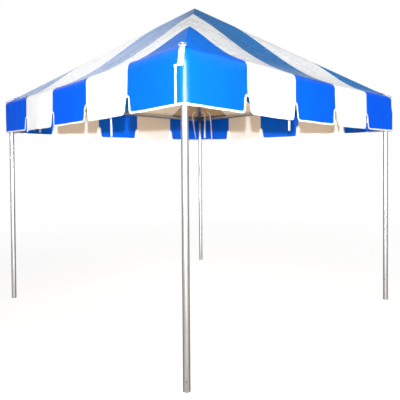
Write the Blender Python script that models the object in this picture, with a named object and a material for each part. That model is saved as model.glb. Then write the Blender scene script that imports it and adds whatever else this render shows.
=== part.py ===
"""Frame tent, ten feet square: a tube frame on four legs under a striped hip roof with a hanging valance.

Metres, Z up, the floor at Z = 0 and the centre of the tent at X = 0, Y = 0.
The front side faces -Y and the right side faces +X, so the front right corner is at +X, -Y.
Each shape is made once, for the front side or for the front right corner, and turned about Z for the others.
"""

import math

import bpy
import bmesh
from mathutils import Matrix, Vector

# Frame
LEG_AXIS = 1.466  # from the centre of the tent to a leg's axis, along X and along Y
RAIL_HEIGHT = 2.195  # axis of the eave rails above the floor
ROOF_SLOPE = 0.674  # rise over run of the roof planes
TUBE_RADIUS = 0.0254  # two inch tube
TUBE_WALL = 0.002
TUBE_SIDES = 36
LEG_LENGTH = 2.134  # seven feet
RAIL_STUB = 0.075  # from a fitting's centre to where a rail starts
RAFTER_STUB = 0.100  # the same for a rafter
SPIGOT_RADIUS = 0.0231  # the part of a fitting that goes inside a tube
SPIGOT_LENGTH = 0.090
HUB_RADIUS = 0.0243  # ball where a fitting's stubs meet
FOOT_HOLE_RADIUS = 0.0055
FOOT_HOLE_HEIGHT = 0.070
FOOT_HOLE_SMALL_RADIUS = 0.003
FOOT_HOLE_SMALL_HEIGHT = 0.032
GAP = 0.0003  # between pieces that touch

# Canopy
CLOTH = 0.0025  # thickness of the canopy as a solid
EAVE = 1.526  # from the centre to the outer face of the valance
CORNER_RADIUS = 0.060  # of the valance in plan
SEAM_INNER = 0.308  # stripe seams, from the middle of a side
SEAM_OUTER = 0.906
CLOTH_OVER_AXIS = 0.0344  # roof surface above the plane of the frame's axes, measured upright
FOLD_START = 0.0112  # where the roof leaves a rail, outward from its axis
FOLD_DROP = 0.055
FOLD_SLOPE = 0.43
FOLD_ROWS = 6
SAG_SHARE = 0.0425  # deepest sag over the length of a line from hip to eave
HIP_FLAT = 0.050  # beside a hip the cloth lies flat on the rafter for this width
ROOF_ROWS = 11

# Valance
VALANCE_FOOT = 1.872  # height of its lower edge
NOTCH_HEIGHT = 0.122
NOTCH_TOP_RADIUS = 0.020
NOTCH_FOOT_HALF = 0.028
TAB_CORNER = 0.038  # rounding of a tab's lower corners

CROWN_HEIGHT = RAIL_HEIGHT + ROOF_SLOPE * LEG_AXIS
TURNS = {"front": 0, "right": 1, "back": 2, "left": 3}
CORNERS = {"front_right": 0, "back_right": 1, "back_left": 2, "front_left": 3}


def clearScene():
    for thing in list(bpy.data.objects):
        bpy.data.objects.remove(thing, do_unlink=True)


def makeMaterial(name, colour, roughness, metallic):
    material = bpy.data.materials.new(name)
    material.use_nodes = True
    shader = material.node_tree.nodes["Principled BSDF"]
    shader.inputs["Base Color"].default_value = (*colour, 1.0)
    shader.inputs["Roughness"].default_value = roughness
    shader.inputs["Metallic"].default_value = metallic
    return material


def addObject(name, mesh, material):
    made = bpy.data.objects.new(name, mesh)
    bpy.context.scene.collection.objects.link(made)
    mesh.materials.clear()
    mesh.materials.append(material)
    return made


def turned(quarter):
    return Matrix.Rotation(math.radians(90 * quarter), 4, "Z")


def copyTurned(source, name, quarter):
    """The source's mesh turned about Z by quarter turns, as an object of its own."""
    mesh = source.data.copy()
    mesh.transform(turned(quarter))
    return addObject(name, mesh, source.data.materials[0])


def applyBoolean(target, cutter, operation):
    cut = target.modifiers.new("Boolean", "BOOLEAN")
    cut.operation = operation
    cut.solver = "EXACT"
    cut.object = cutter
    bpy.context.view_layer.update()
    graph = bpy.context.evaluated_depsgraph_get()
    mesh = bpy.data.meshes.new_from_object(target.evaluated_get(graph))
    target.modifiers.clear()
    target.data = mesh
    bpy.data.objects.remove(cutter, do_unlink=True)


def smoothRound(target, degrees=40):
    mesh = target.data
    mesh.shade_smooth()
    mesh.set_sharp_from_angle(angle=math.radians(degrees))


# Round bars and tubes

def addBar(name, start, end, radius, sides, material, roll=0.0):
    """A solid cylinder from start to end, its facets rolled about its own axis."""
    start = Vector(start)
    along = Vector(end) - start
    build = bmesh.new()
    bmesh.ops.create_cone(
        build, cap_ends=True, segments=sides, radius1=radius, radius2=radius, depth=along.length
    )
    move = Matrix.Translation(start + along / 2) @ along.to_track_quat("Z", "Y").to_matrix().to_4x4()
    move = move @ Matrix.Rotation(roll, 4, "Z")
    bmesh.ops.transform(build, matrix=move, verts=build.verts)
    mesh = bpy.data.meshes.new(name)
    build.to_mesh(mesh)
    build.free()
    return addObject(name, mesh, material)


def addTube(name, start, end, material):
    """An open tube from start to end."""
    start = Vector(start)
    along = Vector(end) - start
    outer = TUBE_RADIUS
    inner = TUBE_RADIUS - TUBE_WALL
    rings = [(outer, 0.0), (outer, along.length), (inner, along.length), (inner, 0.0)]
    build = bmesh.new()
    verts = []
    for radius, height in rings:
        ring = []
        for side in range(TUBE_SIDES):
            angle = 2 * math.pi * side / TUBE_SIDES
            ring.append(build.verts.new((radius * math.cos(angle), radius * math.sin(angle), height)))
        verts.append(ring)
    for index in range(4):
        first = verts[index]
        second = verts[(index + 1) % 4]
        for side in range(TUBE_SIDES):
            after = (side + 1) % TUBE_SIDES
            build.faces.new((first[side], first[after], second[after], second[side]))
    move = Matrix.Translation(start) @ along.to_track_quat("Z", "Y").to_matrix().to_4x4()
    bmesh.ops.transform(build, matrix=move, verts=build.verts)
    bmesh.ops.recalc_face_normals(build, faces=build.faces)
    mesh = bpy.data.meshes.new(name)
    build.to_mesh(mesh)
    build.free()
    made = addObject(name, mesh, material)
    smoothRound(made)
    return made


def addLeg(name, material):
    """The front right leg, with pin holes through both walls near the foot."""
    leg = addTube(name, (LEG_AXIS, -LEG_AXIS, 0), (LEG_AXIS, -LEG_AXIS, LEG_LENGTH), material)
    reach = Vector((1, -1, 0)).normalized() * 0.04
    for radius, height in (
        (FOOT_HOLE_RADIUS, FOOT_HOLE_HEIGHT),
        (FOOT_HOLE_SMALL_RADIUS, FOOT_HOLE_SMALL_HEIGHT),
    ):
        middle = Vector((LEG_AXIS, -LEG_AXIS, height))
        hole = addBar("foot_hole_cutter", middle - reach, middle + reach, radius, 14, material)
        applyBoolean(leg, hole, "DIFFERENCE")
    smoothRound(leg)
    return leg


def addSocketBody(name, centre, arms, material):
    """A cast fitting: stubs the size of the tubes and a spigot on each."""
    centre = Vector(centre)
    body = None
    for index, (direction, stub) in enumerate(arms):
        away = Vector(direction).normalized()
        roll = 0.013 + 0.037 * index
        for reach, radius in ((stub, TUBE_RADIUS), (stub + SPIGOT_LENGTH, SPIGOT_RADIUS)):
            start = centre + away * (TUBE_RADIUS - radius - 0.0007 * (index + 1))
            bar = addBar("stub", start, centre + away * reach, radius, TUBE_SIDES, material, roll)
            if body is None:
                body = bar
                body.name = name
            else:
                applyBoolean(body, bar, "UNION")
    ball = bmesh.new()
    bmesh.ops.create_uvsphere(ball, u_segments=24, v_segments=13, radius=HUB_RADIUS)
    bmesh.ops.transform(ball, matrix=Matrix.Translation(centre), verts=ball.verts)
    ballMesh = bpy.data.meshes.new("hub")
    ball.to_mesh(ballMesh)
    ball.free()
    applyBoolean(body, addObject("hub", ballMesh, material), "UNION")
    body.data.name = name
    smoothRound(body)
    return body


# Canopy

def roofPlane(outward):
    """Height of the stretched roof at this distance from the centre, measured square to the side."""
    return RAIL_HEIGHT + CLOTH_OVER_AXIS + ROOF_SLOPE * (LEG_AXIS - outward)


def roofHeight(across, outward):
    """Roof plane less the sag between the hip and the rail."""
    last = LEG_AXIS + FOLD_START
    length = last - across - HIP_FLAT
    if length < 0.01 or outward > last:
        return roofPlane(outward)
    share = min(max((outward - across - HIP_FLAT) / length, 0.0), 1.0)
    sag = SAG_SHARE * length * 6.75 * share * share * (1 - share)
    return roofPlane(outward) - sag


def foldProfile():
    """(outward, height, outward part of normal, height part) down the rounded eave, from valance to roof."""
    start = Vector((LEG_AXIS + FOLD_START, roofPlane(LEG_AXIS + FOLD_START)))
    end = Vector((EAVE, start.y - FOLD_DROP))
    slope = Vector((1, -FOLD_SLOPE)).normalized()
    handles = (start, start + slope * 0.030, end + Vector((0, 0.028)), end)
    profile = []
    for row in range(FOLD_ROWS + 1):
        t = 1 - row / FOLD_ROWS
        weights = ((1 - t) ** 3, 3 * t * (1 - t) ** 2, 3 * t * t * (1 - t), t**3)
        point = sum((h * w for h, w in zip(handles, weights)), Vector((0, 0)))
        a, b, c, d = handles
        along = (b - a) * (1 - t) ** 2 + (c - b) * 2 * t * (1 - t) + (d - c) * t * t
        along.normalize()
        profile.append((point.x, point.y, -along.y, along.x))
    return profile


FOLD = foldProfile()
FOLD_TOP = FOLD[-1][0]
VALANCE_TOP = FOLD[0][1] - GAP


def columnPoints(across, hipGap):
    """(outer, inner) points of one line of the front face, from the eave's foot to the hip."""
    points = []
    for outward, height, normalOut, normalUp in FOLD:
        outer = Vector((across, -outward, height))
        inner = Vector((across, -(outward - normalOut * CLOTH), height - normalUp * CLOTH))
        points.append((outer, inner))
    hip = abs(across) + hipGap
    down = CLOTH * math.sqrt(1 + ROOF_SLOPE**2)
    flat = hip + HIP_FLAT
    rows = [FOLD_TOP + (flat - FOLD_TOP) * (row / ROOF_ROWS) ** 1.2 for row in range(1, ROOF_ROWS + 1)]
    for outward in rows + [hip]:
        height = roofHeight(abs(across), outward)
        outer = Vector((across, -outward, height))
        inner = Vector((across, -outward, height - down))
        points.append((outer, inner))
    return points


def sheetObject(name, columns, material):
    """A closed solid from columns of (outer, inner) points."""
    build = bmesh.new()
    outer = [[build.verts.new(pair[0]) for pair in column] for column in columns]
    inner = [[build.verts.new(pair[1]) for pair in column] for column in columns]
    last = len(columns) - 1
    top = len(columns[0]) - 1
    for i in range(last):
        for j in range(top):
            build.faces.new((outer[i][j], outer[i + 1][j], outer[i + 1][j + 1], outer[i][j + 1]))
            build.faces.new((inner[i][j + 1], inner[i + 1][j + 1], inner[i + 1][j], inner[i][j]))
        build.faces.new((inner[i][0], inner[i + 1][0], outer[i + 1][0], outer[i][0]))
        build.faces.new((outer[i][top], outer[i + 1][top], inner[i + 1][top], inner[i][top]))
    for j in range(top):
        build.faces.new((inner[0][j], outer[0][j], outer[0][j + 1], inner[0][j + 1]))
        build.faces.new((outer[last][j], inner[last][j], inner[last][j + 1], outer[last][j + 1]))
    bmesh.ops.remove_doubles(build, verts=build.verts, dist=0.00002)
    bmesh.ops.dissolve_degenerate(build, edges=build.edges, dist=0.00001)
    bmesh.ops.triangulate(build, faces=[f for f in build.faces if len(f.verts) > 3])
    bmesh.ops.recalc_face_normals(build, faces=build.faces)
    mesh = bpy.data.meshes.new(name)
    build.to_mesh(mesh)
    build.free()
    made = addObject(name, mesh, material)
    smoothRound(made, 30)
    return made


def spread(first, last, count):
    return [first + (last - first) * i / count for i in range(count + 1)]


def mirroredPair(pair):
    """The point of the right face that matches a point of the front face, across the front right hip."""
    return tuple(Vector((-p.y, -p.x, p.z)) for p in pair)


def addGore(name, material):
    """Middle stripe of the front face, up to the peak."""
    columns = []
    for across in spread(-SEAM_INNER + GAP / 2, SEAM_INNER - GAP / 2, 8):
        columns.append(columnPoints(across, GAP * 0.75))
    return sheetObject(name, columns, material)


def addChevron(name, material):
    """White stripe that meets its neighbour over the front right hip."""
    steps = spread(SEAM_INNER + GAP / 2, SEAM_OUTER - GAP / 2, 6)
    front = [columnPoints(across, 0.0) for across in steps]
    columns = []
    for column in front:
        # One line runs from the front eave over the hip to the right eave.
        columns.append(column + [mirroredPair(pair) for pair in reversed(column[:-1])])
    return sheetObject(name, columns, material)


def cornerRing(inset, height, normalOut, normalUp, vertical):
    """One line of the corner panel at this inset from the eave, from the front seam to the right seam."""
    radius = max(CORNER_RADIUS - inset, 0.0)
    straight = EAVE - CORNER_RADIUS if radius > 0 else EAVE - inset
    start = SEAM_OUTER + GAP / 2
    places = []
    flat = max(straight - HIP_FLAT, (start + straight) / 2)
    for across in spread(start, flat, 4) + [straight]:
        places.append((Vector((across, -(EAVE - inset))), Vector((0, -1))))
    centre = Vector((straight, -straight))
    for step in range(1, 6):
        angle = math.radians(-90 + 90 * step / 6)
        away = Vector((math.cos(angle), math.sin(angle)))
        places.append((centre + away * radius, away))
    places += [(Vector((-p.y, -p.x)), Vector((-n.y, -n.x))) for p, n in reversed(places[:6])]
    pairs = []
    for place, away in places:
        outward = max(place.x, -place.y)
        across = min(place.x, -place.y)
        z = height if height is not None else roofHeight(across, outward)
        outer = Vector((place.x, place.y, z))
        inner = Vector((place.x - away.x * normalOut * CLOTH, place.y - away.y * normalOut * CLOTH, 0))
        inner.z = z - (vertical if vertical else normalUp * CLOTH)
        pairs.append((outer, inner))
    return pairs


def addCornerPanel(name, material):
    """Blue stripe at the front right corner."""
    rings = []
    for outward, height, normalOut, normalUp in FOLD:
        rings.append(cornerRing(EAVE - outward, height, normalOut, normalUp, None))
    down = CLOTH * math.sqrt(1 + ROOF_SLOPE**2)
    first = EAVE - FOLD_TOP
    last = EAVE - SEAM_OUTER - GAP / 2
    insets = [CORNER_RADIUS] + spread(CORNER_RADIUS, last, 8)[1:]
    for inset in insets:
        if inset > first:
            rings.append(cornerRing(inset, None, 0.0, 0.0, down))
    return sheetObject(name, rings, material)


# Valance

def tabEnd(sign, edge):
    """(distance along, height of lower edge) from a seam into a tab: half a notch, then a rounded corner."""
    top = VALANCE_FOOT + NOTCH_HEIGHT
    points = [(0.0, top)]
    for step in range(1, 4):
        angle = math.radians(90 * step / 3)
        points.append(
            (NOTCH_TOP_RADIUS * math.sin(angle), top - NOTCH_TOP_RADIUS * (1 - math.cos(angle)))
        )
    corner = NOTCH_FOOT_HALF + TAB_CORNER
    for step in range(0, 5):
        angle = math.radians(90 * step / 4)
        points.append(
            (corner - TAB_CORNER * math.cos(angle), VALANCE_FOOT + TAB_CORNER * (1 - math.sin(angle)))
        )
    return [(edge + sign * along, height) for along, height in points]


def addTab(name, length, place, steps, material):
    """A valance panel: place(s) gives the point in plan and the outward normal at s along its length."""
    left = tabEnd(1, GAP / 2)
    right = list(reversed(tabEnd(-1, length - GAP / 2)))
    middle = [(s, VALANCE_FOOT) for s in steps if left[-1][0] < s < right[0][0]]
    columns = []
    for along, foot in left + middle + right:
        point, away = place(along)
        pairs = []
        for height in (foot, VALANCE_TOP):
            outer = Vector((point.x, point.y, height))
            inner = Vector((point.x - away.x * CLOTH, point.y - away.y * CLOTH, height))
            pairs.append((outer, inner))
        columns.append(pairs)
    return sheetObject(name, columns, material)


def frontPlace(start):
    return lambda s: (Vector((start + s, -EAVE)), Vector((0, -1)))


def cornerPlace(s):
    """Along the front side from the outer seam, round the corner and back along the right side."""
    straight = EAVE - CORNER_RADIUS - SEAM_OUTER
    arc = math.pi / 2 * CORNER_RADIUS
    if s <= straight:
        return Vector((SEAM_OUTER + s, -EAVE)), Vector((0, -1))
    if s >= straight + arc:
        return Vector((EAVE, -(EAVE - CORNER_RADIUS) + s - straight - arc)), Vector((1, 0))
    angle = -math.pi / 2 + (s - straight) / CORNER_RADIUS
    away = Vector((math.cos(angle), math.sin(angle)))
    centre = EAVE - CORNER_RADIUS
    return Vector((centre, -centre)) + away * CORNER_RADIUS, away


clearScene()
aluminium = makeMaterial("aluminium_tube", (0.78, 0.79, 0.80), 0.28, 1.0)
casting = makeMaterial("aluminium_fitting", (0.62, 0.63, 0.64), 0.42, 1.0)
blueVinyl = makeMaterial("blue_vinyl", (0.006, 0.155, 0.80), 0.38, 0.0)
whiteVinyl = makeMaterial("white_vinyl", (0.86, 0.86, 0.85), 0.40, 0.0)

leg = addLeg("leg_front_right", aluminium)
for corner, quarter in CORNERS.items():
    if quarter:
        smoothRound(copyTurned(leg, "leg_" + corner, quarter))

rail = addTube(
    "rail_front",
    (-LEG_AXIS + RAIL_STUB + GAP, -LEG_AXIS, RAIL_HEIGHT),
    (LEG_AXIS - RAIL_STUB - GAP, -LEG_AXIS, RAIL_HEIGHT),
    aluminium,
)
for side, quarter in TURNS.items():
    if quarter:
        copyTurned(rail, "rail_" + side, quarter)

cornerCentre = Vector((LEG_AXIS, -LEG_AXIS, RAIL_HEIGHT))
crownCentre = Vector((0, 0, CROWN_HEIGHT))
uphill = (crownCentre - cornerCentre).normalized()
legStub = RAIL_HEIGHT - LEG_LENGTH - GAP
fitting = addSocketBody(
    "corner_fitting_front_right",
    cornerCentre,
    [((-1, 0, 0), RAIL_STUB), ((0, 1, 0), RAIL_STUB), ((0, 0, -1), legStub), (uphill, RAFTER_STUB)],
    casting,
)
for corner, quarter in CORNERS.items():
    if quarter:
        copyTurned(fitting, "corner_fitting_" + corner, quarter)

rafter = addTube(
    "rafter_front_right",
    cornerCentre + uphill * (RAFTER_STUB + GAP),
    crownCentre - uphill * (RAFTER_STUB + GAP),
    aluminium,
)
for corner, quarter in CORNERS.items():
    if quarter:
        copyTurned(rafter, "rafter_" + corner, quarter)

downhill = [turned(quarter).to_3x3() @ -uphill for quarter in range(4)]
addSocketBody("crown_fitting", crownCentre, [(away, RAFTER_STUB) for away in downhill], casting)

gore = addGore("roof_middle_front", blueVinyl)
for side, quarter in TURNS.items():
    if quarter:
        copyTurned(gore, "roof_middle_" + side, quarter)
chevron = addChevron("roof_stripe_front_right", whiteVinyl)
panel = addCornerPanel("roof_corner_front_right", blueVinyl)
for corner, quarter in CORNERS.items():
    if quarter:
        copyTurned(chevron, "roof_stripe_" + corner, quarter)
        copyTurned(panel, "roof_corner_" + corner, quarter)

middleTab = addTab("valance_middle_front", 2 * SEAM_INNER, frontPlace(-SEAM_INNER), [SEAM_INNER], blueVinyl)
stripeWidth = SEAM_OUTER - SEAM_INNER
leftTab = addTab("valance_stripe_front_left", stripeWidth, frontPlace(-SEAM_OUTER), [0.3], whiteVinyl)
rightTab = addTab("valance_stripe_front_right", stripeWidth, frontPlace(SEAM_INNER), [0.3], whiteVinyl)
flatRun = EAVE - CORNER_RADIUS - SEAM_OUTER
cornerArc = math.pi / 2 * CORNER_RADIUS
cornerSteps = [0.3] + [flatRun + cornerArc * i / 6 for i in range(7)]
cornerSteps += [2 * flatRun + cornerArc - 0.3]
cornerTab = addTab(
    "valance_corner_front_right", 2 * flatRun + cornerArc, cornerPlace, cornerSteps, blueVinyl
)
# Each side's left and right are those of someone who faces it from outside.
for side, quarter in TURNS.items():
    if quarter:
        copyTurned(middleTab, "valance_middle_" + side, quarter)
        copyTurned(leftTab, "valance_stripe_" + side + "_left", quarter)
        copyTurned(rightTab, "valance_stripe_" + side + "_right", quarter)
for corner, quarter in CORNERS.items():
    if quarter:
        copyTurned(cornerTab, "valance_corner_" + corner, quarter)
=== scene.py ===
import math
from functools import partial

import bpy
from mathutils import Euler, Matrix, Vector, noise


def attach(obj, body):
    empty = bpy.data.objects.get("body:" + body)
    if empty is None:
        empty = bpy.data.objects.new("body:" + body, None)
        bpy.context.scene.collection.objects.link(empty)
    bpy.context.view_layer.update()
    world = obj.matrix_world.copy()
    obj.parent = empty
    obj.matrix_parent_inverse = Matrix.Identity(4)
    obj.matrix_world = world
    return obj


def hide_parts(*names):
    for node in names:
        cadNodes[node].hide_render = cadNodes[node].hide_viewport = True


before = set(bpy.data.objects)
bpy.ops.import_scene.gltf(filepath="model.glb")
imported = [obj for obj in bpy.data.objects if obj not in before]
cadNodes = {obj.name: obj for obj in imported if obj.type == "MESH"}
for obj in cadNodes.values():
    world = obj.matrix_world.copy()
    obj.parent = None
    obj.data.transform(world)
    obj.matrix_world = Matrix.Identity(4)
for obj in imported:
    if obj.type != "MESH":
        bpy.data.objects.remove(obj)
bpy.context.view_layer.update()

# the canopy's own sizes in metres, the same as the solids have
canopy = {
    "legAxis": 1.466,
    "railHeight": 2.195,
    "slope": 0.674,
    "clothLift": 0.0344,
    "innerSeam": 0.308,
    "outerSeam": 0.906,
    "foldStart": 1.4772,
    "eave": 1.526,
    "eaveHeight": 2.1669,
    "cornerRound": 0.060,
    "hipFlat": 0.050,
    "sag": 0.0425,
    "cloth": 0.0012,
}
sideNames = ("front", "right", "back", "left")
cornerNames = ("front_right", "back_right", "back_left", "front_left")
quarterAngle = math.pi / 2
diagonal = 0.7071  # half the square root of two
legAxis, innerSeam, outerSeam, foldStart, eave, eaveHeight, cornerRound = [canopy[size] for size in (
    "legAxis", "innerSeam", "outerSeam", "foldStart", "eave", "eaveHeight", "cornerRound")]


def deselectAll():
    bpy.ops.object.select_all(action="DESELECT")


def newPiece(name):
    piece = bpy.context.active_object
    piece.name = name
    piece.data.name = name
    return piece


def useOnly(piece):
    deselectAll()
    piece.select_set(True)
    bpy.context.view_layer.objects.active = piece


def editAll(*steps):
    # each step acts on the whole mesh
    bpy.ops.object.mode_set(mode="EDIT")
    for step in steps:
        bpy.ops.mesh.select_all(action="SELECT")
        step()
    bpy.ops.object.mode_set(mode="OBJECT")


def addModifier(piece, kind, **settings):
    useOnly(piece)
    modifier = piece.modifiers.new(kind.lower(), kind)
    for key, value in settings.items():
        setattr(modifier, key, value)
    bpy.ops.object.modifier_apply(modifier=modifier.name)


def thicken(sheet, thickness, offset=-1, **settings):
    addModifier(sheet, "SOLIDIFY", thickness=thickness, offset=offset, **settings)


def finishPiece(piece, materials=(), smooth=40):
    for material in materials:
        piece.data.materials.append(material)
    useOnly(piece)
    bpy.ops.object.transform_apply()
    bpy.ops.object.shade_smooth_by_angle(angle=math.radians(smooth))
    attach(piece, "root")


def quarterTurn(point, quarter):
    # the front side's point, carried round to the right, back and left sides
    x, y, z = point
    for step in range(quarter % 4):
        x, y = -y, x
    return Vector((x, y, z))


def clamp(share):
    return min(max(share, 0.0), 1.0)


def smoothStep(value, low, high):
    share = clamp((value - low) / (high - low))
    return share * share * (3 - 2 * share)


def runLengths(points):
    # how far along a path each of its points lies
    run = [0.0]
    for a, b in zip(points, points[1:]):
        run.append(run[-1] + (b - a).length)
    return run


print("camera and studio")
photo = {
    "place": (3.6631, -3.4243, 1.4825),
    "heading": 137.323,
    "tilt": -0.993,
    "roll": -0.438,
    "lens": 40.62,
    "shift": (0.0182, -0.0666),
}
bpy.ops.object.camera_add(location=photo["place"])
camera = bpy.context.active_object
camera.name = "photo_camera"
turnTo = Euler((math.radians(90 + photo["tilt"]), 0, math.radians(photo["heading"] - 90))).to_matrix()
camera.rotation_euler = (turnTo @ Matrix.Rotation(math.radians(photo["roll"]), 3, "Z")).to_euler()
camera.data.lens = photo["lens"]
camera.data.sensor_width = 36
camera.data.shift_x, camera.data.shift_y = photo["shift"]
camera.data.clip_end = 400
bpy.context.scene.camera = camera
bpy.context.scene.view_settings.view_transform = "Standard"


# sRGB hex to the linear colour that a shader takes
def hexColour(text):
    parts = [int(text[i:i + 2], 16) / 255 for i in (1, 3, 5)]
    return (*[p / 12.92 if p <= 0.04045 else ((p + 0.055) / 1.055) ** 2.4 for p in parts], 1.0)


# adds a node; its inputs go by place in a list or by name in a dictionary, and each is a value,
# a node, which gives the first output that it uses, or a node with an output's name
def addNode(tree, kind, inputs=(), operation=None, **settings):
    node = tree.nodes.new("ShaderNode" + kind)
    if operation:
        node.operation = operation
    for key, value in settings.items():
        setattr(node, key, value)
    for key, value in inputs.items() if isinstance(inputs, dict) else enumerate(inputs):
        if isinstance(value, bpy.types.Node):
            tree.links.new(next(output for output in value.outputs if output.enabled), node.inputs[key])
        elif isinstance(value, tuple) and isinstance(value[0], bpy.types.Node):
            tree.links.new(value[0].outputs[value[1]], node.inputs[key])
        else:
            node.inputs[key].default_value = value
    return node


def clearNodes(owner):
    # gives addNode for the owner's own tree
    owner.use_nodes = True
    owner.node_tree.nodes.clear()
    return partial(addNode, owner.node_tree)


def newMaterial(name):
    material = bpy.data.materials.new(name)
    return material, clearNodes(material)


def hideFrom(thing, *rays):
    for ray in rays:
        setattr(thing, "visible_" + ray, False)


white = "#FFFFFF"
# four numbers are a ramp: from, to, and what it gives at each; two give 0 and 1
studio = {
    "size": 60.0,
    "floorColour": "#F4F2EE",
    "glowNear": 0.82,  # share of the floor's light that is its own, so it stays pale
    "glowFar": (3.2, 9.0),  # and out here all of it is
    "roomColour": "#FDFDFF",
    "groundColour": "#F2E4D4",
    "frontSide": (0.735, -0.678, 0.0),  # towards the camera, where the walls are lightest
    "darkBand": 0.50,  # how far round behind the tent's sides the dark band lies
    "behind": -2.4,  # how fast the walls brighten again beyond it
    "walls": (0.04, 1.10, 0.05, 0.90),
    "ground": (0.16, 0.95, 0.20, 0.66),
    "leftSide": (-0.678, -0.735, 0.0),  # the low sky is bright on this side only
    "lowSky": (0.04, 0.26, 0.14, 1.40),
    "highSky": 0.16,
    "toSky": (0.28, 0.42),
    "toTop": (0.60, 0.86),
    "toGround": (-0.02, -0.16),
    "underTent": (-0.42, -0.66, 1.0, 0.42),
    # each lamp's place, aim, size, power and colour, and the rays that don't see it; the glint is a tall
    # strip that only reflections show, the flash's glare, and the bounce is warm light off the ground
    "lamps": {
        "lamp_by_camera": ((3.663, -3.424, 1.755), (0, 0, 1.9), (0.05,), 366, "#F1F6FF", "camera"),
        "glint_by_camera": ((3.45, -3.23, 2.38), (1.5, -1.5, 2.0), (0.13, 0.40), 1600, white,
                            "camera diffuse"),
        "softbox_left": ((-8.0, 3.0, 5.5), (0, 0, 1.9), (3.0,), 190, white, "camera glossy"),
        "softbox_right": ((4.5, 5.2, 7.0), (0, 0, 1.9), (3.0,), 330, white, "camera glossy"),
        "softbox_back": ((-1.5, 8.5, 3.6), (0, 0, 1.9), (3.0,), 40, white, "camera glossy"),
        "ground_bounce": ((0, 0, 0.03), (0, 0, 2.0), (4.0,), 8, "#FFD9B4", "camera glossy"),
    },
    "insideHeight": 1.15,  # what the cloth all round throws back
    "insideSize": 0.35,
    "insidePower": 62,
    "insideColour": "#FFD6A2",
}
smoothRamp = {"interpolation_type": "SMOOTHSTEP"}
bpy.ops.mesh.primitive_circle_add(vertices=96, radius=studio["size"], fill_type="NGON")
floor = newPiece("studio_floor")
floorPaint, add = newMaterial("pale studio floor")
where = add("TexCoord")
distance = add("VectorMath", [(where, "Object")], "LENGTH")
far = add("MapRange", [distance, *studio["glowFar"]], **smoothRamp)
matt = add("BsdfDiffuse", [hexColour(studio["floorColour"])])
ownLight = add("Emission", [hexColour(white), 1.0])
near = add("MixShader", [studio["glowNear"], matt, ownLight])
mixed = add("MixShader", [far, near, ownLight])
add("OutputMaterial", [mixed])
floor.data.materials.append(floorPaint)
hideFrom(floor, "diffuse", "glossy")

bpy.ops.mesh.primitive_uv_sphere_add(segments=48, ring_count=24, radius=studio["size"])
backdrop = newPiece("studio_backdrop")
backdropPaint, add = newMaterial("white studio backdrop")
ownLight = add("Emission", [hexColour(white), 1.0])
add("OutputMaterial", [ownLight])
backdrop.data.materials.append(backdropPaint)
hideFrom(backdrop, "diffuse", "glossy", "shadow", "transmission")

# a warm ground and walls, lightest on the camera's side, with a dark band beyond the tent's sides, which
# draws the tubes' edges, and lighter again behind it; a low sky that the left slope reflects most, and a
# dim sky overhead
world = bpy.data.worlds.new("studio_room")
bpy.context.scene.world = world
add = clearNodes(world)
where = (add("TexCoord"), "Object")
height = (add("SeparateXYZ", [where]), "Z")
frontage = add("VectorMath", [where, studio["frontSide"]], "DOT_PRODUCT")
fromBand = add("Math", [frontage, studio["darkBand"]])
behind = add("Math", [fromBand, studio["behind"]], "MULTIPLY")
offDark = add("Math", [fromBand, behind], "MAXIMUM")
walls = add("MapRange", [offDark, *studio["walls"]])
ground = add("MapRange", [offDark, *studio["ground"]])
leftness = add("VectorMath", [where, studio["leftSide"]], "DOT_PRODUCT")
lowSky = add("MapRange", [leftness, *studio["lowSky"]], **smoothRamp)
toSky, toTop, toGround, underTent = [
    add("MapRange", [height, *studio[part]], **smoothRamp)
    for part in ("toSky", "toTop", "toGround", "underTent")]
ground = add("Math", [ground, underTent], "MULTIPLY")
glow = add("Mix", {"Factor": toSky, "A": walls, "B": lowSky})
glow = add("Mix", {"Factor": toTop, "A": glow, "B": studio["highSky"]})
glow = add("Mix", {"Factor": toGround, "A": glow, "B": ground})
tint = add("Mix", {"Factor": toGround, "A": hexColour(studio["roomColour"]),
                   "B": hexColour(studio["groundColour"])}, data_type="RGBA")
room = add("Background", [(tint, "Result"), glow])
add("OutputWorld", [room])

for name, (place, aim, size, power, colour, rays) in studio["lamps"].items():
    bpy.ops.object.light_add(type="AREA", location=place)
    lamp = bpy.context.active_object
    lamp.name = name
    lamp.data.shape = "RECTANGLE" if len(size) > 1 else "DISK"
    lamp.data.size, lamp.data.size_y = size[0], size[-1]
    lamp.data.energy = power
    lamp.data.color = hexColour(colour)[:3]
    lamp.rotation_euler = (Vector(aim) - Vector(place)).to_track_quat("-Z", "Y").to_euler()
    hideFrom(lamp, *rays.split())
bpy.ops.object.light_add(type="POINT", radius=studio["insideSize"], location=(0, 0, studio["insideHeight"]))
inside = bpy.context.active_object
inside.name = "light_inside"
inside.data.energy = studio["insidePower"]
inside.data.color = hexColour(studio["insideColour"])[:3]
hideFrom(inside, "camera", "glossy")


print("materials")


# rows of stitches: across is the distance from the seam and along runs beside it; the rest are metres,
# the row's distance, its thread's half width and soft edge, and a stitch's pitch and length
def addStitches(add, across, along, rowAt, halfWidth, softEdge, pitch, length):
    offRow = add("Math", [across, rowAt], "SUBTRACT")
    offRow = add("Math", [offRow], "ABSOLUTE")
    row = add("MapRange", [offRow, halfWidth, softEdge, 1.0, 0.0])
    beat = add("Math", [along, pitch], "FLOORED_MODULO")
    stitch = add("Math", [beat, length], "LESS_THAN")
    return add("Math", [row, stitch], "MULTIPLY")


# two sets of threads that cross, each given by the scale of its waves
def addWeave(add, cloth, *scales):
    threads = [(add("TexWave", {"Vector": cloth, "Scale": scale}, bands_direction=way), "Fac")
               for scale, way in zip(scales, "XY")]
    return add("Math", threads, "MULTIPLY")


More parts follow.
